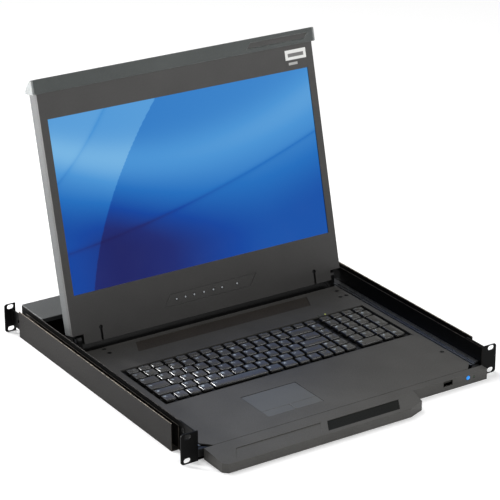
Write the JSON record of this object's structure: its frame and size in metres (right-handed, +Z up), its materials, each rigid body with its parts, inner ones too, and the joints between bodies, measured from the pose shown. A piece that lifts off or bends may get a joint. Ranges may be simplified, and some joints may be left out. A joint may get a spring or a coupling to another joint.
{
  "type": "rack console drawer",
  "caption": "Rack-mount console drawer and computer switch with keyboard, touchpad, pull handle and fold-up screen on ball slides, with front and rear rack ears.",
  "frame": {"origin": "centre of the four front rack slots, on the front face of the front ears", "axes": "+X to the right seen from the front, +Y to the back of the rack, +Z up"},
  "size_m": [0.4826, 0.5095, 0.3735],
  "materials": {
    "black_steel": "satin black powder coat",
    "rail_steel": "satin dark grey-brown coat",
    "grey_shell": "fine grained, dark grey",
    "light_cap": "satin light grey",
    "deck_plastic": "fine grained charcoal",
    "key_plastic": "satin charcoal",
    "pad_plastic": "fine grained dark grey",
    "black_plastic": "black",
    "black_zinc": "black zinc",
    "slide_steel": "zinc plated",
    "port_blue": "moulded blue",
    "nickel": "nickel plated",
    "circuit_board": "green solder mask",
    "panel_metal": "display module",
    "display": "lit picture behind a hard coat",
    "blue_lens": "lit blue",
    "lamp_lens": "dark green lens",
    "menu_key": "pale lit legend"
  },
  "bodies": {
    "case": {"case_pan": "black_steel", "rear_cover": "grey_shell", "bay_divider": "black_steel", "rear_panel": "black_steel", "port_connectors": "port_blue", "port_jack_screws": "nickel", "power_inlet": "black_plastic", "switch_board": "circuit_board", "power_supply": "slide_steel", "rail_left": "rail_steel", "rail_right": "rail_steel", "front_ear_left": "black_steel", "front_ear_right": "black_steel", "ear_screws": "black_zinc", "slide_outer_left": "slide_steel", "slide_outer_right": "slide_steel"},
    "rear_ear_left": {"rear_ear_left": "black_steel"},
    "rear_ear_right": {"rear_ear_right": "black_steel"},
    "slide_middle_left": {"slide_middle_left": "slide_steel"},
    "slide_middle_right": {"slide_middle_right": "slide_steel"},
    "drawer": {"drawer_tray": "black_steel", "cable_cover": "black_steel", "console_board": "circuit_board", "deck": "deck_plastic", "deck_screws": "black_zinc", "keyboard_base": "black_plastic", "slide_inner_left": "slide_steel", "slide_inner_right": "slide_steel", "touchpad_board": "circuit_board", "touchpad": "pad_plastic", "front_panel": "deck_plastic", "handle_inlay": "black_plastic", "usb_socket": "slide_steel", "status_lamps": "lamp_lens", "hinge_towers": "black_zinc"},
    "lid": {"hinge_pins": "slide_steel", "lid_back": "grey_shell", "lid_bezel": "deck_plastic", "hinge_leaves": "black_zinc", "lcd_panel": "panel_metal", "screen_glass": "display", "display_board": "circuit_board", "top_bar": "grey_shell", "bar_end_caps": "light_cap", "menu_strip": "black_plastic"},
    "menu_buttons": {"menu_buttons": "menu_key"},
    "power_button": {"power_button": "blue_lens"},
    "left_button": {"left_button": "pad_plastic"},
    "right_button": {"right_button": "pad_plastic"},
    "lock_tab_left": {"lock_tab_left": "black_plastic"},
    "lock_tab_right": {"lock_tab_right": "black_plastic"},
    "function_keys": {"function_keys": "key_plastic"},
    "number_keys": {"number_keys": "key_plastic"},
    "upper_keys": {"upper_keys": "key_plastic"},
    "home_keys": {"home_keys": "key_plastic"},
    "lower_keys": {"lower_keys": "key_plastic"},
    "bottom_keys": {"bottom_keys": "key_plastic"},
    "space_bar": {"space_bar": "key_plastic"},
    "enter_key": {"enter_key": "key_plastic"},
    "numeric_keys": {"numeric_keys": "key_plastic"}
  },
  "joints": [
    {"name": "drawer_slide", "type": "slide", "parent": "case", "child": "drawer", "axis": [0, -1, 0], "range_m": [0, 0.35]},
    {"name": "slide_middle_left_run", "type": "slide", "parent": "case", "child": "slide_middle_left", "axis": [0, -1, 0], "range_m": [0, 0.175]},
    {"name": "slide_middle_right_run", "type": "slide", "parent": "case", "child": "slide_middle_right", "axis": [0, -1, 0], "range_m": [0, 0.175]},
    {"name": "rear_ear_left_adjust", "type": "slide", "parent": "case", "child": "rear_ear_left", "axis": [0, 1, 0], "range_m": [-0.02, 0.12]},
    {"name": "rear_ear_right_adjust", "type": "slide", "parent": "case", "child": "rear_ear_right", "axis": [0, 1, 0], "range_m": [-0.02, 0.12]},
    {"name": "lid_hinge", "type": "hinge", "parent": "drawer", "child": "lid", "pos_m": [0, 0.3253, 0.0096], "axis": [1, 0, 0], "range_deg": [-6.2, 103.8]},
    {"name": "power_button_press", "type": "slide", "parent": "drawer", "child": "power_button", "axis": [0, 1, 0], "range_m": [0, 0.0012], "stiffness_N_per_m": 800, "springref_m": -0.0005},
    {"name": "left_button_press", "type": "slide", "parent": "drawer", "child": "left_button", "axis": [0, 0, -1], "range_m": [0, 0.0008], "stiffness_N_per_m": 1500, "springref_m": -0.0004},
    {"name": "right_button_press", "type": "slide", "parent": "drawer", "child": "right_button", "axis": [0, 0, -1], "range_m": [0, 0.0008], "stiffness_N_per_m": 1500, "springref_m": -0.0004},
    {"name": "lock_tab_left_press", "type": "slide", "parent": "drawer", "child": "lock_tab_left", "axis": [1, 0, 0], "range_m": [0, 0.004], "stiffness_N_per_m": 800, "springref_m": -0.001},
    {"name": "lock_tab_right_press", "type": "slide", "parent": "drawer", "child": "lock_tab_right", "axis": [-1, 0, 0], "range_m": [0, 0.004], "stiffness_N_per_m": 800, "springref_m": -0.001},
    {"name": "menu_buttons_press", "type": "slide", "parent": "lid", "child": "menu_buttons", "axis": [0, 0.9711, -0.2385], "range_m": [0, 0.0005], "stiffness_N_per_m": 1500, "springref_m": -0.0004},
    {"name": "function_keys_press", "type": "slide", "parent": "drawer", "child": "function_keys", "axis": [0, 0, -1], "range_m": [0, 0.0018], "stiffness_N_per_m": 4000, "springref_m": -0.0005},
    {"name": "number_keys_press", "type": "slide", "parent": "drawer", "child": "number_keys", "axis": [0, 0, -1], "range_m": [0, 0.0018], "stiffness_N_per_m": 4000, "springref_m": -0.0005},
    {"name": "upper_keys_press", "type": "slide", "parent": "drawer", "child": "upper_keys", "axis": [0, 0, -1], "range_m": [0, 0.0018], "stiffness_N_per_m": 4000, "springref_m": -0.0005},
    {"name": "home_keys_press", "type": "slide", "parent": "drawer", "child": "home_keys", "axis": [0, 0, -1], "range_m": [0, 0.0018], "stiffness_N_per_m": 4000, "springref_m": -0.0005},
    {"name": "lower_keys_press", "type": "slide", "parent": "drawer", "child": "lower_keys", "axis": [0, 0, -1], "range_m": [0, 0.0018], "stiffness_N_per_m": 4000, "springref_m": -0.0005},
    {"name": "bottom_keys_press", "type": "slide", "parent": "drawer", "child": "bottom_keys", "axis": [0, 0, -1], "range_m": [0, 0.0018], "stiffness_N_per_m": 4000, "springref_m": -0.0005},
    {"name": "space_bar_press", "type": "slide", "parent": "drawer", "child": "space_bar", "axis": [0, 0, -1], "range_m": [0, 0.0018], "stiffness_N_per_m": 600, "springref_m": -0.0005},
    {"name": "enter_key_press", "type": "slide", "parent": "drawer", "child": "enter_key", "axis": [0, 0, -1], "range_m": [0, 0.0018], "stiffness_N_per_m": 600, "springref_m": -0.0005},
    {"name": "numeric_keys_press", "type": "slide", "parent": "drawer", "child": "numeric_keys", "axis": [0, 0, -1], "range_m": [0, 0.0018], "stiffness_N_per_m": 4000, "springref_m": -0.0005}
  ],
  "couplings": [
    {"joint": "slide_middle_left_run", "follows": "drawer_slide", "ratio": 0.5},
    {"joint": "slide_middle_right_run", "follows": "drawer_slide", "ratio": 0.5}
  ]
}
